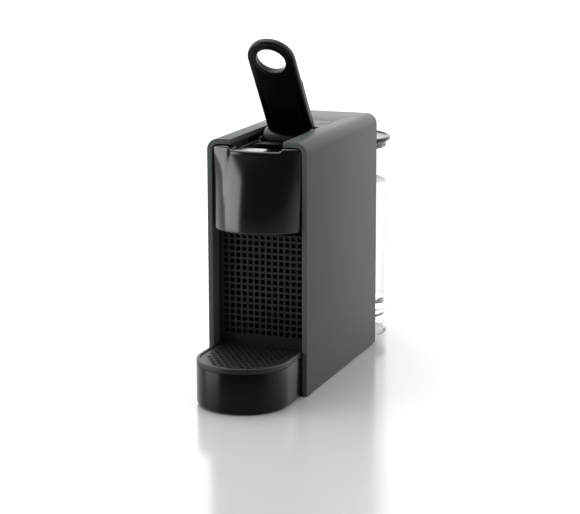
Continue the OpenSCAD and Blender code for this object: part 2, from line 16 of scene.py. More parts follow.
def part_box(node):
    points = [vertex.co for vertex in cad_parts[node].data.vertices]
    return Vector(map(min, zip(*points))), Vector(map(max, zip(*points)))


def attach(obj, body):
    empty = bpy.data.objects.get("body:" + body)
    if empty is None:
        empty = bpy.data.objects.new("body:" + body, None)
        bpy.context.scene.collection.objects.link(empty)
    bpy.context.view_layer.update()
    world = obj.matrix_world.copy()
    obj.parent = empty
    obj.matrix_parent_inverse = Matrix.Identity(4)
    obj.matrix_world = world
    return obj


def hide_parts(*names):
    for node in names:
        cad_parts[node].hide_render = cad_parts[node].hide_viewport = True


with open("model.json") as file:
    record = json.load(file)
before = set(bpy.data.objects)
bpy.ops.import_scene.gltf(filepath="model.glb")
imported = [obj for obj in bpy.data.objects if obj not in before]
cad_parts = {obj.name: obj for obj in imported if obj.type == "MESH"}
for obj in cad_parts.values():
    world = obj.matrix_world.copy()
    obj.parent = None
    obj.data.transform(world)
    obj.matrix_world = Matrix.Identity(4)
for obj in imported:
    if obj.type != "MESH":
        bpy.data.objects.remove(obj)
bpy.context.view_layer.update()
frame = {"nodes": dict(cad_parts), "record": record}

MM = 0.001
SHELL_FRONT = 98.0  # millimetres from the shell's front edge back to the frame's origin
SMOOTH_ANGLE = math.radians(32)
log = logging.getLogger("coffee_machine")


class Body(Enum):
    """The moving bodies of the frame."""

    MACHINE = "machine"
    LEVER = "lever"
    TRAY = "tray"
    GRID = "grid"
    TANK = "tank"
    LID = "lid"
    LEFT_BUTTON = "button_left"
    RIGHT_BUTTON = "button_right"


class Drink(Enum):
    """The two cup sizes marked on the buttons, with the body that each button rides on."""

    SHORT = ("espresso_button", Body.LEFT_BUTTON, 0.62)
    LONG = ("lungo_button", Body.RIGHT_BUTTON, 1.0)


# ---------------------------------------------------------------- finishes


class Shader:
    """Adds nodes to one material and joins them."""

    def __init__(self, name: str) -> None:
        """Starts a material with a Principled shader.

        Args:
            name: The material's name.
        """
        self.material = bpy.data.materials.new(name)
        self.material.use_nodes = True
        self.tree = self.material.node_tree
        self.surface = self.tree.nodes["Principled BSDF"]
        self.place = self.tree.nodes.new("ShaderNodeTexCoord").outputs["Object"]

    def node(self, kind: str, **values: object) -> bpy.types.Node:
        """Adds a node and sets its attributes.

        Args:
            kind: The node's Blender type.
            values: Attribute names and values.

        Returns:
            The new node.
        """
        made = self.tree.nodes.new(kind)
        for key, value in values.items():
            setattr(made, key, value)
        return made

    def link(self, start: bpy.types.NodeSocket, end: bpy.types.NodeSocket) -> None:
        """Joins two sockets.

        Args:
            start: The output socket.
            end: The input socket.
        """
        self.tree.links.new(start, end)

    def set(self, **values: object) -> None:
        """Sets the surface's own sockets.

        Args:
            values: Socket names, with underscores for spaces, and their values.
        """
        for key, value in values.items():
            self.surface.inputs[key.replace("_", " ")].default_value = value

    def noise(self, scale: float, detail: float = 3.0) -> bpy.types.NodeSocket:
        """Adds a noise pattern on Object coordinates.

        Args:
            scale: Cells in a metre.
            detail: Octaves of detail.

        Returns:
            The pattern's value, from 0 to 1.
        """
        made = self.node("ShaderNodeTexNoise")
        made.inputs["Scale"].default_value = scale
        made.inputs["Detail"].default_value = detail
        self.link(self.place, made.inputs["Vector"])
        return made.outputs["Fac"]

    def spread(
        self, value: bpy.types.NodeSocket, low: float, high: float, start: float = 0.3, end: float = 0.7
    ) -> bpy.types.NodeSocket:
        """Maps a pattern from start..end to low..high.

        Args:
            value: The pattern.
            low: Result at start.
            high: Result at end.
            start: Pattern value that gives low.
            end: Pattern value that gives high.

        Returns:
            The mapped value.
        """
        made = self.node("ShaderNodeMapRange")
        for key, number in (("From Min", start), ("From Max", end), ("To Min", low), ("To Max", high)):
            made.inputs[key].default_value = number
        self.link(value, made.inputs["Value"])
        return made.outputs["Result"]

    def tint(self, value: bpy.types.NodeSocket, dark: tuple, light: tuple) -> bpy.types.NodeSocket:
        """Mixes two colours by a pattern.

        Args:
            value: The pattern, 0 for dark and 1 for light.
            dark: First linear colour.
            light: Second linear colour.

        Returns:
            The mixed colour.
        """
        made = self.node("ShaderNodeMix", data_type="RGBA")
        colour_in = [s for s in made.inputs if s.type == "RGBA"]
        colour_in[0].default_value = (*dark, 1)
        colour_in[1].default_value = (*light, 1)
        self.link(value, made.inputs["Factor"])
        return [s for s in made.outputs if s.type == "RGBA"][0]

    def bump(self, height: bpy.types.NodeSocket, depth: float) -> None:
        """Raises the surface by a pattern.

        Args:
            height: The pattern.
            depth: Height of the relief in metres.
        """
        made = self.node("ShaderNodeBump")
        made.inputs["Distance"].default_value = depth
        made.inputs["Strength"].default_value = 1.0
        self.link(height, made.inputs["Height"])
        self.link(made.outputs["Normal"], self.surface.inputs["Normal"])


@dataclass(frozen=True)
class Finish:
    """A moulded or metal surface: two close colours, a roughness range and a fine grain."""

    name: str
    dark: tuple
    light: tuple
    rough: tuple = (0.3, 0.4)
    grain: float = 900.0
    relief: float = 0.00002
    cloud: float = 14.0
    metallic: float = 0.0
    coat: float = 0.0
    stretch: tuple = (1, 1, 1)
    specular: float = 0.5

    def dress(self) -> bpy.types.Material:
        """Builds the material.

        Returns:
            The finished material.
        """
        shader = Shader(self.name)
        shader.set(Metallic=self.metallic, Coat_Weight=self.coat, Coat_Roughness=0.04)
        shader.set(Specular_IOR_Level=self.specular)
        if self.stretch != (1, 1, 1):
            turn = shader.node("ShaderNodeMapping")
            turn.inputs["Scale"].default_value = self.stretch
            shader.link(shader.place, turn.inputs["Vector"])
            shader.place = turn.outputs["Vector"]
        cloud = shader.noise(self.cloud, 4.0)
        grain = shader.noise(self.grain, 2.0)
        colour = shader.tint(shader.spread(cloud, 0, 1), self.dark, self.light)
        shader.link(colour, shader.surface.inputs["Base Color"])
        shader.link(shader.spread(grain, *self.rough), shader.surface.inputs["Roughness"])
        shader.bump(grain, self.relief)
        return shader.material


@dataclass(frozen=True)
class ClearFinish:
    """Clear plastic or water."""

    name: str
    colour: tuple
    ior: float
    rough: tuple = (0.01, 0.03)

    def dress(self) -> bpy.types.Material:
        """Builds the material.

        Returns:
            The finished material.
        """
        shader = Shader(self.name)
        shader.set(Transmission_Weight=1.0, IOR=self.ior)
        cloud = shader.noise(30.0)
        dark = tuple(0.985 * c for c in self.colour)
        shader.link(shader.tint(cloud, dark, self.colour), shader.surface.inputs["Base Color"])
        shader.link(shader.spread(cloud, *self.rough), shader.surface.inputs["Roughness"])
        return shader.material


FINISHES = {
    "shell_grey": Finish(
        "satin grey-green moulding", (0.088, 0.101, 0.091), (0.095, 0.108, 0.098), (0.4, 0.5), 1400,
        0.000012, 9, specular=0.06,
    ),
    "gloss_black": Finish(
        "polished black moulding", (0.002, 0.0021, 0.0024), (0.003, 0.003, 0.0034), (0.17, 0.2),
        300, 0.000004, 8,
    ),
    "matt_black": Finish(
        "spark-eroded black moulding", (0.003, 0.003, 0.0034), (0.006, 0.006, 0.0065), (0.42, 0.56),
        2600, 0.00003, 20, specular=0.35,
    ),
    "inner_black": Finish(
        "plain black moulding", (0.006, 0.006, 0.0065), (0.012, 0.012, 0.012), (0.5, 0.65), 1500,
        0.00003, 25,
    ),
    "steel": Finish(
        "brushed steel", (0.42, 0.42, 0.43), (0.6, 0.6, 0.61), (0.2, 0.38), 700, 0.00001, 60, 1.0,
        stretch=(0.06, 1, 1),
    ),
    "brass": Finish(
        "drawn brass", (0.5, 0.36, 0.14), (0.66, 0.5, 0.22), (0.22, 0.36), 800, 0.00001, 40, 1.0
    ),
    "aluminium": Finish(
        "cast aluminium", (0.4, 0.41, 0.42), (0.56, 0.57, 0.58), (0.4, 0.58), 1100, 0.00006, 40, 1.0
    ),
    "rubber": Finish(
        "soft rubber", (0.008, 0.008, 0.008), (0.018, 0.018, 0.017), (0.7, 0.88), 1700, 0.00004, 30
    ),
    "pump_body": Finish(
        "glass-filled resin", (0.5, 0.46, 0.38), (0.62, 0.58, 0.5), (0.4, 0.55), 1300, 0.00004, 35
    ),
    "coil": Finish("potted winding", (0.05, 0.03, 0.02), (0.1, 0.06, 0.035), (0.35, 0.5), 900, 0.00005, 50),
    "white_plastic": Finish(
        "white acetal", (0.6, 0.6, 0.57), (0.7, 0.7, 0.68), (0.3, 0.42), 1200, 0.00002, 30
    ),
    "orange_plastic": Finish(
        "orange acetal", (0.6, 0.16, 0.03), (0.72, 0.22, 0.05), (0.3, 0.42), 1200, 0.00002, 30
    ),
    "board_green": Finish(
        "lacquered board", (0.01, 0.07, 0.02), (0.02, 0.11, 0.035), (0.25, 0.4), 1000, 0.00003, 90
    ),
    "hose": Finish("silicone hose", (0.5, 0.49, 0.44), (0.6, 0.59, 0.54), (0.35, 0.5), 900, 0.00002, 30),
    "clear": ClearFinish("clear tank plastic", (0.95, 0.96, 0.965), 1.46),
}
WATER = ClearFinish("still water", (0.93, 0.95, 0.955), 1.33, (0.0, 0.01))
SATIN = Finish(
    "satin black moulding", (0.002, 0.0021, 0.0024), (0.003, 0.003, 0.0034), (0.22, 0.26), 400,
    0.000004, 8, specular=0.16,
)
INK = Finish("dark print", (0.012, 0.012, 0.012), (0.02, 0.02, 0.02), (0.4, 0.5), 1500, 0.00001, 60)
FLOOR = Finish("polished pale floor", (0.6, 0.6, 0.6), (0.61, 0.61, 0.61), (0.15, 0.16), 40, 0.0, 2)


# ---------------------------------------------------------------- mesh helpers


def mm(x: float, depth: float, height: float) -> Vector:
    """Places a point given in millimetres from the shell's front edge.

    Args:
        x: Distance to the right of the middle.
        depth: Distance behind the shell's front edge.
        height: Height above the floor.

    Returns:
        The point in metres in the frame.
    """
    return Vector((x * MM, (depth - SHELL_FRONT) * MM, height * MM))


def outline(
    points: list[tuple], rounds: list[float], plane: str = "XY", at: float = 0.0
) -> bmesh.types.BMesh:
    """Makes one flat face with rounded corners.

    Args:
        points: Corners in metres, in order.
        rounds: Corner radius of each point in metres, 0 for a sharp one.
        plane: "XY", "XZ" or "YZ", the plane of the corners.
        at: Position along the plane's normal.

    Returns:
        A bmesh with the face.
    """
    bm = bmesh.new()
    order = {"XY": (0, 1, 2), "XZ": (0, 2, 1), "YZ": (1, 2, 0)}[plane]
    made = []
    for a, b in points:
        co = [0.0, 0.0, 0.0]
        co[order[0]], co[order[1]], co[order[2]] = a, b, at
        made.append(bm.verts.new(co))
    bm.faces.new(made)
    corners_of = list(zip(made, rounds))
    for radius in sorted(set(rounds) - {0}):
        corners = [v for v, r in corners_of if r == radius]
        bmesh.ops.bevel(
            bm,
            geom=corners,
            offset=radius,
            offset_type="OFFSET",
            segments=14,
            profile=0.5,
            affect="VERTICES",
            material=-1,
        )
    return bm


def thicken(bm: bmesh.types.BMesh, step: Vector) -> None:
    """Extrudes every face of a flat outline along step and closes the solid.

    Args:
        bm: The outline.
        step: Direction and height in metres.
    """
    result = bmesh.ops.extrude_face_region(bm, geom=bm.faces[:], use_keep_orig=True)
    bmesh.ops.translate(bm, vec=step, verts=[g for g in result["geom"] if isinstance(g, bmesh.types.BMVert)])
    bmesh.ops.recalc_face_normals(bm, faces=bm.faces[:])


def soften(
    bm: bmesh.types.BMesh,
    radius: float,
    segments: int = 3,
    angle: float = 40.0,
    where: Callable[[Vector], bool] | None = None,
) -> None:
    """Rounds the sharp edges of a solid.

    Args:
        bm: The solid.
        radius: Radius in metres.
        segments: Faces across the round.
        angle: Smallest angle between faces, in degrees, that counts as sharp.
        where: Optional test of an edge's middle point.
    """
    limit = math.radians(angle)
    edges = [e for e in bm.edges if len(e.link_faces) == 2 and e.calc_face_angle(0) > limit]
    if where:
        edges = [e for e in edges if where((e.verts[0].co + e.verts[1].co) / 2)]
    bmesh.ops.bevel(
        bm,
        geom=edges,
        offset=radius,
        offset_type="OFFSET",
        segments=segments,
        profile=0.5,
        affect="EDGES",
        clamp_overlap=True,
        material=-1,
    )


def lathe(points: list[tuple], centre: Vector, steps: int = 96) -> bmesh.types.BMesh:
    """Spins an open profile round the upright axis through centre.

    Args:
        points: Radius and height pairs in millimetres, from the axis or a rim to the other end.
        centre: A point on the axis.
        steps: Faces round the axis.

    Returns:
        The closed solid.
    """
    bm = bmesh.new()
    row = [bm.verts.new((centre.x + r * MM, centre.y, centre.z + z * MM)) for r, z in points]
    edges = [bm.edges.new(pair) for pair in zip(row, row[1:])]
    bmesh.ops.spin(
        bm,
        geom=row + edges,
        cent=centre,
        axis=(0, 0, 1),
        angle=math.tau,
        steps=steps,
        use_merge=True,
    )
    bmesh.ops.remove_doubles(bm, verts=bm.verts[:], dist=0.000002)
    bmesh.ops.recalc_face_normals(bm, faces=bm.faces[:])
    return bm


def settle(bm: bmesh.types.BMesh, name: str) -> bpy.types.Object:
    """Turns a bmesh into an object at the origin with smooth shading up to the sharp angle.

    Args:
        bm: The shape, which is freed.
        name: The object's name.

    Returns:
        The new object.
    """
    mesh = bpy.data.meshes.new(name)
    bm.to_mesh(mesh)
    bm.free()
    mesh.shade_smooth()
    mesh.set_sharp_from_angle(angle=SMOOTH_ANGLE)
    piece = bpy.data.objects.new(name, mesh)
    bpy.context.scene.collection.objects.link(piece)
    return piece


def carve(piece: bpy.types.Object, cutter: bmesh.types.BMesh) -> None:
    """Cuts a shape out of a piece for good.

    Args:
        piece: The piece to cut.
        cutter: The shape to take away, which is freed.
    """
    tool = settle(cutter, "cutter")
    cut = piece.modifiers.new("cut", "BOOLEAN")
    cut.operation = "DIFFERENCE"
    cut.solver = "EXACT"
    cut.object = tool
    shaped = bpy.data.meshes.new_from_object(piece.evaluated_get(bpy.context.evaluated_depsgraph_get()))
    piece.modifiers.clear()
    piece.data = shaped
    bpy.data.objects.remove(tool)


def reshape(piece: bpy.types.Object) -> bmesh.types.BMesh:
    """Opens a piece's mesh for more work.

    Args:
        piece: The piece.

    Returns:
        A bmesh copy with doubles merged.
    """
    bm = bmesh.new()
    bm.from_mesh(piece.data)
    bmesh.ops.remove_doubles(bm, verts=bm.verts[:], dist=0.000001)
    return bm


def retake(piece: bpy.types.Object, bm: bmesh.types.BMesh) -> None:
    """Puts a worked bmesh back into its piece.

    Args:
        piece: The piece.
        bm: The shape, which is freed.
    """
    bm.to_mesh(piece.data)
    bm.free()
    piece.data.shade_smooth()
    piece.data.set_sharp_from_angle(angle=SMOOTH_ANGLE)


def block(low: Vector, high: Vector) -> bmesh.types.BMesh:
    """Makes a plain block between two corners, to cut with or to shape further.

    Args:
        low: Lowest corner.
        high: Highest corner.

    Returns:
        The block.
    """
    bm = bmesh.new()
    bmesh.ops.create_cube(bm, size=1.0)
    size = high - low
    bmesh.ops.scale(bm, vec=size, verts=bm.verts[:])
    bmesh.ops.translate(bm, vec=(low + high) / 2, verts=bm.verts[:])
    return bm


def merge(target: bmesh.types.BMesh, other: bmesh.types.BMesh) -> None:
    """Adds the faces of other to target.

    Args:
        target: The bmesh that grows.
        other: The bmesh that is added and freed.
    """
    mesh = bpy.data.meshes.new("part")
    other.to_mesh(mesh)
    other.free()
    target.from_mesh(mesh)
    bpy.data.meshes.remove(mesh)


class Workshop:
    """Dresses pieces and CAD nodes, and hands them to the frame."""

    def __init__(self) -> None:
        """Builds each finish once."""
        self.materials = {slot: finish.dress() for slot, finish in FINISHES.items()}
        self.satin = SATIN.dress()
        self.nodes = frame["nodes"]
        self.replaced: set[str] = set()

    def place(
        self,
        piece: bpy.types.Object,
        body: Body,
        slot: str,
        *nodes: str,
        material: bpy.types.Material | None = None,
    ) -> None:
        """Gives a piece the finish of its slot, or the given material, and puts it on its body.

        Args:
            piece: The finished piece.
            body: The body it rides on.
            slot: The record's material slot.
            nodes: CAD nodes that it stands for.
            material: A material other than the slot's, if any.
        """
        piece.data.materials.clear()
        piece.data.materials.append(material or self.materials[slot])
        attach(piece, body.value)
        if nodes:
            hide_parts(*nodes)
            self.replaced.update(nodes)
        log.info("%s: %d faces on %s", piece.name, len(piece.data.polygons), body.value)

    def dress_frame(self) -> None:
        """Gives every CAD node that still shows its slot's finish."""
        slots = {part["node"]: part["material_slot"] for part in frame["record"]["subparts"]}
        for name, piece in self.nodes.items():
            if name in self.replaced:
                continue
            piece.data.materials.clear()
            piece.data.materials.append(self.materials[slots[name]])
            for face in piece.data.polygons:
                face.material_index = 0
            log.info("%s: dressed as %s", name, slots[name])


# ---------------------------------------------------------------- the machine


@dataclass
class Shell:
    """The wrap-around shell, cut for the lever and the buttons."""

    wall: float = 4.0
    edge: float = 9.0
    slot_half: float = 22.3
    slot_end: float = 86.5
    slot_round: float = 1.2
    button_side: float = 12.5
    button_gap: float = 0.4
    cut_from: float = 190.0
    cut_height: float = 30.0
    crisp: float = 0.55

    def build(self, shop: Workshop) -> None:
        """Models the shell.

        Args:
            shop: The workshop that dresses it.
        """
        low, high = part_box("outer_shell")
        x, z0, z1, t = high.x, low.z, high.z, self.wall * MM
        points = [(-x, z0), (-x, z1), (x, z1), (x, z0)]
        points += [(x - t, z0), (x - t, z1 - t), (t - x, z1 - t), (t - x, z0)]
        big, small = self.edge * MM, (self.edge - self.wall) * MM
        bm = outline(points, [0, big, big, 0, 0, small, small, 0], "XZ", low.y)
        thicken(bm, Vector((0, high.y - low.y, 0)))
        shell = settle(bm, "shell")
        half, end = self.slot_half, self.slot_end
        corners = [mm(-half, -9, 0), mm(half, -9, 0), mm(half, end, 0), mm(-half, end, 0)]
        inner_round = self.slot_round * MM
        rounds = [0, 0, inner_round, inner_round]
        tool = outline([(c.x, c.y) for c in corners], rounds, "XY", self.cut_from * MM)
        thicken(tool, Vector((0, 0, self.cut_height * MM)))
        carve(shell, tool)
        for side in (-self.button_side, self.button_side):
            tool = Button.plan(side, self.button_gap)
            bmesh.ops.translate(tool, vec=(0, 0, self.cut_from * MM), verts=tool.verts[:])
            thicken(tool, Vector((0, 0, self.cut_height * MM)))
            carve(shell, tool)
        bm = reshape(shell)
        soften(bm, self.crisp * MM, 3, 50)
        retake(shell, bm)
        shop.place(shell, Body.MACHINE, "shell_grey", "outer_shell")


@dataclass
class Button:
    """A drink button with a raised cup mark."""

    drink: Drink
    half_width: ClassVar[float] = 10.0
    half_depth: ClassVar[float] = 12.0
    corner: ClassVar[float] = 4.0
    middle: ClassVar[float] = 111.0
    skin: float = 0.2
    proud: float = 0.23
    cap: float = 6.0

    @classmethod
    def plan(cls, side: float, gap: float) -> bmesh.types.BMesh:
        """Outlines a button or its window.

        Args:
            side: X of the middle in millimetres.
            gap: Room all round in millimetres.

        Returns:
            The outline at floor level.
        """
        hx, hy = cls.half_width + gap, cls.half_depth + gap
        corners = [mm(side + a * hx, cls.middle + b * hy, 0) for a, b in ((-1, -1), (1, -1), (1, 1), (-1, 1))]
        return outline([(c.x, c.y) for c in corners], [(cls.corner + gap) * MM] * 4)

    def build(self, shop: Workshop) -> None:
        """Models the cap and its mark.

        Args:
            shop: The workshop that dresses it.
        """
        node, body, size = self.drink.value
        low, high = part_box(node)
        side = (low.x + high.x) / 2 / MM
        bm = self.plan(side, 0.0)
        bmesh.ops.translate(bm, vec=(0, 0, high.z - self.cap * MM), verts=bm.verts[:])
        thicken(bm, Vector((0, 0, self.cap * MM)))
        soften(bm, 0.0005, 3, 50)
        cap = settle(bm, node + "_cap")
        shop.place(cap, body, "shell_grey", node)
        mark = self.cup(side, high.z, size)
        shop.place(mark, body, "inner_black", material=INK.dress())

    def cup(self, side: float, top: float, size: float) -> bpy.types.Object:
        """Models a plain cup mark, a hair proud of the cap.

        Args:
            side: X of the button's middle in millimetres.
            top: Height of the cap in metres.
            size: Relative height of the cup.

        Returns:
            The mark.
        """
        h = 5.5 * size
        sunk = top - self.skin * MM
        bowl = [(-3.2, h / 2), (3.2, h / 2), (2.3, -h / 2), (-2.3, -h / 2)]
        pts = [mm(side + a, self.middle + b, 0) for a, b in bowl]
        bm = outline([(p.x, p.y) for p in pts], [0, 0, 0.001, 0.001], "XY", sunk)
        rest = self.middle - 4 - 0.9 * size
        dish = [mm(side + a * 3.6, rest + b * 0.35, 0) for a, b in ((-1, -1), (1, -1), (1, 1), (-1, 1))]
        merge(bm, outline([(p.x, p.y) for p in dish], [0.0003] * 4, "XY", sunk))
        handle = bmesh.new()
        centre = mm(side + 3.4, self.middle + 0.4, 0)
        bmesh.ops.create_circle(handle, segments=24, radius=1.5 * MM)
        ring = bmesh.ops.extrude_edge_only(handle, edges=handle.edges[:])
        inner = [g for g in ring["geom"] if isinstance(g, bmesh.types.BMVert)]
        bmesh.ops.scale(handle, vec=(0.6, 0.6, 1), verts=inner)
        bmesh.ops.translate(handle, vec=(centre.x, centre.y, sunk), verts=handle.verts[:])
        merge(bm, handle)
        thicken(bm, Vector((0, 0, self.proud * MM)))
        return settle(bm, self.drink.name.lower() + "_cup_mark")


@dataclass
class Head:
    """The bulged gloss head between the shell's walls, with its rolled flat top strip and its spout."""

    half: float = 37.0
    low_bulge: float = 23.0
    high_bulge: float = 8.0
    bottom: float = 134.3
    top: float = 200.2
    dip: float = 2.6
    dip_half: float = 20.0
    dip_ramp: float = 3.0
    roll: float = 2.2
    skin: float = 2.2
    across: int = 56
    up: int = 44
    curl: int = 8

    def bulge(self, t: float) -> float:
        """Finds how far the head stands out.

        Args:
            t: Share of the height, 0 at the bottom.

        Returns:
            The distance in millimetres.
        """
        return self.low_bulge + (self.high_bulge - self.low_bulge) * (0.25 * t + 0.75 * t**2.1)

    def front(self, u: float, t: float) -> tuple[float, float]:
        """Finds a point of the head's plan curve.

        Args:
            u: Place across, from -1 to 1.
            t: Share of the height.

        Returns:
            X and depth in millimetres.
        """
        b = self.bulge(t)
        r = (self.half**2 + b * b) / (2 * b)
        a = math.asin(self.half / r) * u
        return r * math.sin(a), 1 - b + r - r * math.cos(a)

    def build(self, shop: Workshop) -> None:
        """Models the cover and gives it its wall.

        Args:
            shop: The workshop that dresses it.
        """
        across, up, curl = self.across, self.up, self.curl
        bm = bmesh.new()
        bmesh.ops.create_grid(bm, x_segments=across, y_segments=up + curl + 1, size=1.0)
        for vert in bm.verts:
            u = vert.co.x
            row = round((vert.co.y + 1) / 2 * (up + curl + 1))
            side = min(1.0, max(0.0, (abs(u) * self.half - self.dip_half) / self.dip_ramp))
            crown = self.top - self.dip * (1 - side * side * (3 - 2 * side))
            height = crown - self.roll - self.bottom
            t = min(row / up, 1.0)
            x, y = self.front(u, t)
            z = self.bottom + height * t
            if up < row <= up + curl:
                turn = (row - up) / curl * math.pi / 2
                y += self.roll * (1 - math.cos(turn))
                z += self.roll * math.sin(turn)
            elif row > up + curl:
                y, z = max(y + self.roll + 1, 8.0), crown
            vert.co = mm(x, y, z)
        bmesh.ops.recalc_face_normals(bm, faces=bm.faces[:])
        facing = sum((f.normal.y for f in bm.faces), 0.0)
        if facing > 0:
            bmesh.ops.reverse_faces(bm, faces=bm.faces[:])
        bmesh.ops.solidify(bm, geom=bm.faces[:], thickness=self.skin * MM)
        bmesh.ops.recalc_face_normals(bm, faces=bm.faces[:])
        soften(bm, 0.0004, 2, 60, lambda c: c.z < (self.bottom + 0.5) * MM)
        shop.place(settle(bm, "head"), Body.MACHINE, "gloss_black", "head_cover")
        self.spout(shop)

    def spout(self, shop: Workshop) -> None:
        """Models the coffee outlet under the head.

        Args:
            shop: The workshop that dresses it.
        """
        z = self.bottom
        points = [(4, z + 7), (4, z - 2.6), (4.4, z - 3.4), (5.6, z - 3.7)]
        points += [(6.3, z - 3.2), (7.5, z), (7.6, z + 7), (4, z + 7)]
        outlet = settle(lathe(points, mm(0, 2, 0), 64), "coffee_outlet")
        shop.place(outlet, Body.MACHINE, "matt_black", "spout")


@dataclass
class Tray:
    """The drip tray, its grid and the pierced front of the capsule bin."""

    radius: float = 37.6
    reach: float = 67.0
    wall: float = 2.4
    seam: float = 33.0
    top: float = 37.5
    pitch: float = 5.25
    columns: int = 13
    rows: int = 16
    hole: float = 2.7
    hole_round: float = 0.75
    tub_half: float = 37.2
    tub_back: float = 93.0
    tub_low_edge: float = 8.05
    plate: float = 1.9
    plate_middle: float = 86.0
    slot_rows: int = 17
    slot_step: float = 4.2
    slot_pitch: float = 5.6
    slot_reach: float = 31.5
    slot_radius: float = 2.35

    def plan(self, inset: float, back: float, at: float) -> bmesh.types.BMesh:
        """Outlines the tray with a round front.

        Args:
            inset: Distance inside the outer edge, in millimetres.
            back: Depth of the straight rear edge, in millimetres.
            at: Height in millimetres.

        Returns:
            The outline.
        """
        r = self.radius - inset
        front = inset - self.reach
        corners = [mm(-r, front, 0), mm(r, front, 0), mm(r, back, 0), mm(-r, back, 0)]
        bm = bmesh.new()
        face = bm.faces.new([bm.verts.new((c.x, c.y, at * MM)) for c in corners])
        bmesh.ops.bevel(
            bm,
            geom=list(face.verts)[:2],
            offset=(r - 0.02) * MM,
            offset_type="OFFSET",
            segments=48,
            profile=0.5,
            affect="VERTICES",
            material=-1,
        )
        return bm

    def build(self, shop: Workshop) -> None:
        """Models the three pieces.

        Args:
            shop: The workshop that dresses them.
        """
        bm = self.plan(0, 1.5, 1.0)
        thicken(bm, Vector((0, 0, (self.seam - 1.0) * MM)))
        soften(bm, 0.0045, 7, 50, lambda c: c.z < 2 * MM)
        bowl = settle(bm, "drip_tray_bowl")
        tool = self.plan(self.wall, -1.0, 3.5)
        thicken(tool, Vector((0, 0, 0.05)))
        carve(bowl, tool)
        bm = reshape(bowl)
        soften(bm, 0.0005, 2, 50, lambda c: c.z > (self.seam - 0.5) * MM)
        self.rear_tub(bm)
        retake(bowl, bm)
        shop.place(bowl, Body.TRAY, "gloss_black", "drip_tray", material=shop.satin)
        self.grid(shop)
        self.grille(shop)

    def rear_tub(self, bm: bmesh.types.BMesh) -> None:
        """Adds the part of the tray that runs inside the shell.

        Args:
            bm: The tray's bmesh.
        """
        half, back, low_edge = self.tub_half, self.tub_back, self.tub_low_edge
        tub = block(mm(-half, 1.0, 5.4), mm(half, back, self.top - 0.6))
        upper = [f for f in tub.faces if f.normal.z > 0.9]
        bmesh.ops.inset_region(tub, faces=upper, thickness=2.0 * MM)
        bmesh.ops.translate(tub, vec=(0, 0, -(self.top - 8.6) * MM), verts=list(upper[0].verts))
        for vert in tub.verts:
            if vert.co.y < mm(0, 6, 0).y and vert.co.z > 20 * MM:
                vert.co.z = low_edge * MM
        merge(bm, tub)

    def grid(self, shop: Workshop) -> None:
        """Models the drip grid: a rim, a shallow recess above and below, and slots.

        Args:
            shop: The workshop that dresses it.
        """
        bm = self.plan(0, 12.1, self.seam + 0.25)
        thicken(bm, Vector((0, 0, (self.top - self.seam - 0.25) * MM)))
        soften(bm, 0.0011, 4, 50, lambda c: c.z > (self.top - 0.1) * MM)
        piece = settle(bm, "drip_grid_plate")
        for start, height in ((self.top - 0.9, 2.0), (self.seam - 1.0, 2.2)):
            tool = self.plan(2.6, 9.6, start)
            thicken(tool, Vector((0, 0, height * MM)))
            carve(piece, tool)
        carve(piece, self.lattice())
        bm = reshape(piece)
        retake(piece, bm)
        shop.place(piece, Body.GRID, "matt_black", "drip_grid")

    def lattice(self) -> bmesh.types.BMesh:
        """Shapes the staggered slots of the drip grid.

        Returns:
            The shape to take away.
        """
        tool = bmesh.new()
        centre = self.radius - self.reach
        for r in range(self.slot_rows):
            y = 7.0 - self.slot_step * r
            across = self.slot_reach**2 - (y - centre) ** 2
            room = self.slot_reach if y > centre else math.sqrt(max(0.0, across))
            for i in range(-6, 7):
                x = self.slot_pitch * (i + (0.5 if r % 2 else 0.0))
                if abs(x) + 2.4 < room:
                    place = Matrix.Translation(mm(x, y, self.top))
                    bmesh.ops.create_cone(
                        tool,
                        cap_ends=True,
                        segments=4,
                        radius1=self.slot_radius * MM,
                        radius2=self.slot_radius * MM,
                        depth=0.02,
                        matrix=place @ Matrix.Diagonal((1.0, 0.72, 1.0, 1.0)),
                    )
        return tool

    def grille(self, shop: Workshop) -> None:
        """Models the pierced plate as a grid of inset cells with rounded corners.

        Args:
            shop: The workshop that dresses it.
        """
        low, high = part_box("container_grille")
        half = self.columns * self.pitch / 2
        mid = self.plate_middle
        tall = self.rows * self.pitch / 2
        xs = [low.x / MM] + [-half + self.pitch * i for i in range(self.columns + 1)] + [high.x / MM]
        zs = [low.z / MM] + [mid - tall + self.pitch * k for k in range(self.rows + 1)] + [high.z / MM]
        bm = bmesh.new()
        nx, nz = len(xs) - 1, len(zs) - 1
        bmesh.ops.create_grid(bm, x_segments=nx, y_segments=nz, size=1.0)
        for vert in bm.verts:
            i = round((vert.co.x + 1) / 2 * nx)
            k = round((vert.co.y + 1) / 2 * nz)
            vert.co = Vector((xs[i] * MM, low.y, zs[k] * MM))
        bm.normal_update()
        centres = [(face, face.calc_center_median()) for face in bm.faces]
        cells = [f for f, c in centres if abs(c.x) < half * MM and abs(c.z - mid * MM) < tall * MM]
        bmesh.ops.inset_individual(bm, faces=cells, thickness=(self.pitch - self.hole) / 2 * MM)
        bmesh.ops.delete(bm, geom=cells, context="FACES_ONLY")
        thicken(bm, Vector((0, self.plate * MM, 0)))
        corners = [
            e
            for e in bm.edges
            if len(e.link_faces) == 2
            and abs(e.calc_face_angle(0)) > 1
            and abs((e.verts[0].co - e.verts[1].co).y) > MM
            and abs(e.verts[0].co.x) < half * MM
        ]
        bmesh.ops.bevel(
            bm,
            geom=corners,
            offset=self.hole_round * MM,
            offset_type="OFFSET",
            segments=3,
            profile=0.5,
            affect="EDGES",
            clamp_overlap=True,
            material=-1,
        )
        shop.place(settle(bm, "bin_front"), Body.TRAY, "matt_black", "container_grille")


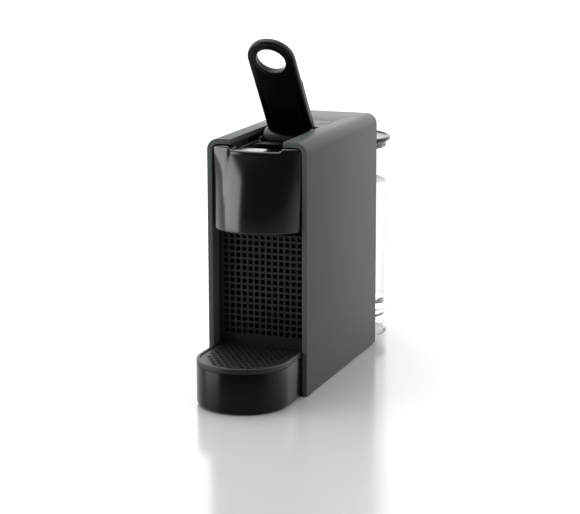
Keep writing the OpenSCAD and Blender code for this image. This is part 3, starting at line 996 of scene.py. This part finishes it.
@dataclass
class Lever:
    """The raised lever: frame with a finger ring, cover plate and hub."""

    raised: float = 54.0
    ring_at: float = 85.2
    ring_radius: float = 19.5
    hole: float = 12.2
    half: float = 20.0
    under: float = 8.4
    over: float = 15.0
    hub: float = 15.0
    pivot: tuple = (0.0, 75.6, 190.0)

    def lift(self, bm: bmesh.types.BMesh) -> None:
        """Turns a shape modelled closed to the rest angle and puts it on the hinge.

        Args:
            bm: The shape, with the hinge at the origin.
        """
        turn = Matrix.Rotation(math.radians(-self.raised), 4, "X")
        bmesh.ops.transform(bm, matrix=Matrix.Translation(mm(*self.pivot)) @ turn, verts=bm.verts[:])

    def flat(self, width: float, start: float, end: float, tip: float, at: float) -> bmesh.types.BMesh:
        """Outlines a strip along the lever.

        Args:
            width: Half-width in millimetres.
            start: Distance of the hinge end from the hinge.
            end: Distance of the far end from the hinge.
            tip: Corner radius at the far end.
            at: Height above the hinge.

        Returns:
            The outline.
        """
        points = [(-width, -start), (width, -start), (width, -end), (-width, -end)]
        return outline([(a * MM, b * MM) for a, b in points], [0, 0, tip * MM, tip * MM], "XY", at * MM)

    def build(self, shop: Workshop) -> None:
        """Models the frame and its cover.

        Args:
            shop: The workshop that dresses them.
        """
        tip = self.ring_at + self.ring_radius
        bm = self.flat(self.half - 0.3, 0, tip, self.ring_radius - 0.1, self.under)
        thicken(bm, Vector((0, 0, (self.over - self.under) * MM)))
        arm = settle(bm, "lever_arm")
        cuts = bmesh.new()
        bmesh.ops.create_cone(
            cuts,
            cap_ends=True,
            segments=72,
            radius1=self.hole * MM,
            radius2=self.hole * MM,
            depth=0.04,
            matrix=Matrix.Translation((0, -self.ring_at * MM, self.over * MM)),
        )
        carve(arm, cuts)
        bm = reshape(arm)
        soften(bm, 0.0021, 5, 50, lambda c: c.y < -0.002)
        retake(arm, bm)
        for side in (-1, 1):
            a, b = sorted((side * 14.6, side * 17.4))
            carve(arm, self.channel(a, b))
        recess = self.flat(17.0, 2.0, 58.0, 1.0, self.over - 1.2)
        thicken(recess, Vector((0, 0, 0.004)))
        carve(arm, recess)
        bm = reshape(arm)
        merge(bm, self.bead())
        merge(bm, self.drum())
        self.lift(bm)
        retake(arm, bm)
        shop.place(arm, Body.LEVER, "gloss_black", "lever_frame", material=shop.satin)
        bm = self.flat(19.6, 2.2, 62.0, 3.0, self.over - 0.9)
        thicken(bm, Vector((0, 0, 0.0009)))
        soften(bm, 0.0003, 2, 50)
        self.lift(bm)
        shop.place(settle(bm, "lever_top_plate"), Body.LEVER, "shell_grey", "lever_cover")

    def channel(self, a: float, b: float) -> bmesh.types.BMesh:
        """Shapes the groove along one side of the lever's underside.

        Args:
            a: Lower X in millimetres.
            b: Higher X in millimetres.

        Returns:
            The shape to take away.
        """
        points = [(a, -14.0), (b, -14.0), (b, -52.0), (a, -52.0)]
        bm = outline([(p * MM, q * MM) for p, q in points], [0, 0, 0.0013, 0.0013], "XY", 5.0 * MM)
        thicken(bm, Vector((0, 0, 7.4 * MM)))
        return bm

    def bead(self) -> bmesh.types.BMesh:
        """Shapes the raised lip round the finger hole's underside.

        Returns:
            The lip, modelled closed.
        """
        z = self.under
        points = [(12.25, z + 2.2), (12.25, z + 0.3), (12.7, z - 0.35), (13.5, z - 0.5)]
        points += [(14.2, z - 0.2), (14.6, z + 0.5), (12.25, z + 2.2)]
        return lathe(points, Vector((0, -self.ring_at * MM, 0)), 72)

    def drum(self) -> bmesh.types.BMesh:
        """Shapes the hub that turns on the axle.

        Returns:
            The hub, modelled closed.
        """
        bm = bmesh.new()
        bmesh.ops.create_cone(
            bm,
            cap_ends=True,
            segments=72,
            radius1=self.hub * MM,
            radius2=self.hub * MM,
            depth=2 * self.half * MM,
            matrix=Matrix.Rotation(math.pi / 2, 4, "Y"),
        )
        soften(bm, 0.0012, 3, 50)
        return bm


@dataclass
class Tank:
    """The clear tank, the water in it and the lid."""

    radius: float = 38.5
    taper: float = 1.4
    wall: float = 2.0
    rim: float = 175.2
    floor: float = 18.0
    water: float = 138.0
    centre: tuple = (0.0, 223.3, 0.0)

    def wall_at(self, z: float) -> float:
        """Finds the tank's outer radius.

        Args:
            z: Height in millimetres.

        Returns:
            The radius in millimetres.
        """
        return self.radius - self.taper * (1 - (z - 1) / (self.rim - 1))

    def build(self, shop: Workshop) -> None:
        """Models the tank, water and lid.

        Args:
            shop: The workshop that dresses them.
        """
        c, w = mm(*self.centre), self.wall
        out, inn = self.wall_at, lambda z: self.wall_at(z) - w
        points = [(8, 18), (inn(18), 18), (inn(18), 1.4), (inn(1) + 0.5, 1)]
        points += [(out(1) - 0.4, 1), (out(1.5), 1.5)]
        points += [(out(z), z) for z in (12, 40, 80, 120, 160)]
        points += [(out(173), 174.6), (out(175) - 0.6, 175.2), (inn(175) + 0.4, 175.2), (inn(174), 174.6)]
        points += [(inn(z), z) for z in (160, 120, 80, 40)]
        points += [(inn(24), 23), (inn(21) - 2.5, 20.5), (8, 20.5), (8, 18)]
        shop.place(settle(lathe(points, c, 128), "tank_wall"), Body.TANK, "clear", "water_tank")
        gap = 0.06
        points = [(0, 22.2), (10.3, 22.2), (10.3, 20.6), (inn(21) - 2.6, 20.6), (inn(24) - gap, 23.2)]
        points += [(inn(z) - gap, z) for z in (40, 80, 120)]
        points += [(inn(138) - gap, self.water), (inn(138) - 1.2, self.water - 0.25), (0, self.water - 0.25)]
        shop.place(settle(lathe(points, c, 128), "water"), Body.TANK, "clear", material=WATER.dress())
        # A thin dark rubber band inside the wall, 16 to 18 mm up, just under the tank's floor.
        ring = [(34.4, 18.0), (34.4, 16.4), (34.9, 15.8), (35.1, 15.9), (35.15, 17.9), (34.4, 18.0)]
        shop.place(settle(lathe(ring, c, 96), "tank_dark_band"), Body.TANK, "rubber")
        z = self.rim
        points = [(0, z + 2.1), (36.4, z + 2.1), (36.9, z + 2.5), (37.4, z + 3.2), (38.4, z + 3.2)]
        points += [(39.3, z + 2.8), (39.7, z + 2.1), (39.7, z + 0.4), (39.3, z + 0.02), (35.9, z + 0.02)]
        points += [(35.9, z - 5.6), (35.5, z - 6), (34.2, z - 6), (33.9, z - 5.6), (33.9, z), (0, z)]
        cap = settle(lathe(points, c, 128), "tank_cap")
        shop.place(cap, Body.LID, "gloss_black", "tank_lid", material=shop.satin)


@dataclass
class Base:
    """Feet and the dark rails that show low down and in the slot."""

    foot: float = 6.0

    def build(self, shop: Workshop) -> None:
        """Models the feet and the deck's rails.

        Args:
            shop: The workshop that dresses them.
        """
        bm = bmesh.new()
        foot = [(0, 0), (self.foot - 0.5, 0), (self.foot, 0.5), (self.foot, 2), (0, 2)]
        for x, y in ((-28, 15), (28, 15), (-28, 165), (28, 165), (0, 235.3)):
            merge(bm, lathe(foot, mm(x, y, 0), 48))
        shop.place(settle(bm, "feet"), Body.MACHINE, "rubber", "rubber_feet")
        bm = bmesh.new()
        for side in (-1, 1):
            a, b = sorted((side * 19.4, side * 21.2))
            rail = block(mm(a, 4, 195.02), mm(b, 57, 196.6))
            soften(rail, 0.0005, 2, 50)
            merge(bm, rail)
        shop.place(settle(bm, "deck_rails"), Body.MACHINE, "inner_black")


# ---------------------------------------------------------------- studio


@dataclass
class Studio:
    """Pale floor, soft lights and the camera."""

    azimuth: float = 20.103
    elevation: float = 12.321
    roll: float = -0.130
    location: tuple = (0.521217, -1.445914, 0.427379)
    lens: float = 115.567
    sky_axis: tuple = (0.0, 0.8, 0.6)
    dim: tuple = (0.35, (0.035, 0.036, 0.04))
    bright: tuple = (0.75, (1.1, 1.1, 1.1))
    seen_through: tuple = (0.8, 0.81, 0.81)
    mirror_boost: float = 2.2

    def floor(self) -> None:
        """Lays the floor."""
        bm = bmesh.new()
        bmesh.ops.create_grid(bm, x_segments=2, y_segments=2, size=6.0)
        ground = settle(bm, "floor")
        ground.data.materials.append(FLOOR.dress())

    def sky(self) -> None:
        """Sets the world: white to the camera, bright behind and above, dim in front.

        Mirror reflections see it brighter, and rays through the tank see an even grey.
        """
        world = bpy.data.worlds.new("studio")
        bpy.context.scene.world = world
        world.use_nodes = True
        tree = world.node_tree
        back = tree.nodes["Background"]
        place = tree.nodes.new("ShaderNodeTexCoord")
        lean = tree.nodes.new("ShaderNodeVectorMath")
        lean.operation = "DOT_PRODUCT"
        lean.inputs[1].default_value = self.sky_axis
        ramp = tree.nodes.new("ShaderNodeValToRGB")
        for stop, (position, colour) in zip(ramp.color_ramp.elements, (self.dim, self.bright)):
            stop.position = position
            stop.color = (*colour, 1)
        shift = tree.nodes.new("ShaderNodeMapRange")
        shift.inputs["From Min"].default_value = -1
        tree.links.new(place.outputs["Generated"], lean.inputs[0])
        tree.links.new(lean.outputs["Value"], shift.inputs["Value"])
        tree.links.new(shift.outputs["Result"], ramp.inputs["Fac"])
        ray = tree.nodes.new("ShaderNodeLightPath")
        mix = tree.nodes.new("ShaderNodeMix")
        mix.data_type = "RGBA"
        colours = [s for s in mix.inputs if s.type == "RGBA"]
        colours[1].default_value = (1, 1, 1, 1)
        tree.links.new(ray.outputs["Is Camera Ray"], mix.inputs["Factor"])
        tree.links.new(ramp.outputs["Color"], colours[0])
        through = tree.nodes.new("ShaderNodeMix")
        through.data_type = "RGBA"
        ends = [s for s in through.inputs if s.type == "RGBA"]
        ends[1].default_value = (*self.seen_through, 1)
        tree.links.new(ray.outputs["Is Transmission Ray"], through.inputs["Factor"])
        tree.links.new([s for s in mix.outputs if s.type == "RGBA"][0], ends[0])
        tree.links.new([s for s in through.outputs if s.type == "RGBA"][0], back.inputs["Color"])
        boost = tree.nodes.new("ShaderNodeMapRange")
        boost.inputs["To Min"].default_value = 1.0
        boost.inputs["To Max"].default_value = self.mirror_boost
        tree.links.new(ray.outputs["Is Glossy Ray"], boost.inputs["Value"])
        tree.links.new(boost.outputs["Result"], back.inputs["Strength"])

    def lamp(self, name: str, at: tuple, size: tuple, power: float, target: tuple = (0, -0.03, 0.12)) -> None:
        """Hangs one soft box.

        Args:
            name: The lamp's name.
            at: Its place in metres.
            size: Its width and height in metres.
            power: Its power in watts.
            target: The point it faces.
        """
        data = bpy.data.lights.new(name, "AREA")
        data.shape = "RECTANGLE"
        data.size, data.size_y = size
        data.energy = power
        lamp = bpy.data.objects.new(name, data)
        lamp.location = at
        lamp.rotation_euler = (Vector(target) - Vector(at)).to_track_quat("-Z", "Y").to_euler()
        lamp.visible_camera = False
        bpy.context.scene.collection.objects.link(lamp)

    def camera(self) -> None:
        """Stands the camera at the main view."""
        a, e, r = (math.radians(v) for v in (self.azimuth, self.elevation, self.roll))
        back = Vector((math.sin(a) * math.cos(e), -math.cos(a) * math.cos(e), math.sin(e)))
        right = Vector((math.cos(a), math.sin(a), 0))
        up = back.cross(right)
        side = right * math.cos(r) + up * math.sin(r)
        top = back.cross(side)
        data = bpy.data.cameras.new("camera")
        data.lens, data.sensor_width, data.sensor_fit = self.lens, 36.0, "HORIZONTAL"
        data.clip_start = 0.05
        camera = bpy.data.objects.new("camera", data)
        facing = Matrix((side, top, back)).transposed().to_4x4()
        camera.matrix_world = Matrix.Translation(self.location) @ facing
        bpy.context.scene.collection.objects.link(camera)
        bpy.context.scene.camera = camera

    def build(self) -> None:
        """Sets up the whole studio."""
        bpy.context.scene.view_settings.view_transform = "Standard"
        self.camera()
        self.floor()
        self.sky()
        self.lamp("left_box", (-1.15, -0.75, 0.3), (0.95, 0.75), 11)
        self.lamp("top_box", (-0.5, 0.3, 1.7), (1.4, 1.4), 15)
        self.lamp("side_fill", (1.6, -0.3, 0.9), (1.0, 1.0), 3)


def main() -> None:
    logging.basicConfig(level=logging.INFO, format="%(message)s")
    studio = Studio()
    studio.build()
    shop = Workshop()
    pieces = [Shell(), Head(), Tray(), Lever(), Tank(), Base(), Button(Drink.SHORT), Button(Drink.LONG)]
    for piece in pieces:
        piece.build(shop)
        log.info("%s done", type(piece).__name__)
    shop.dress_frame()


if __name__ == "__main__":
    main()
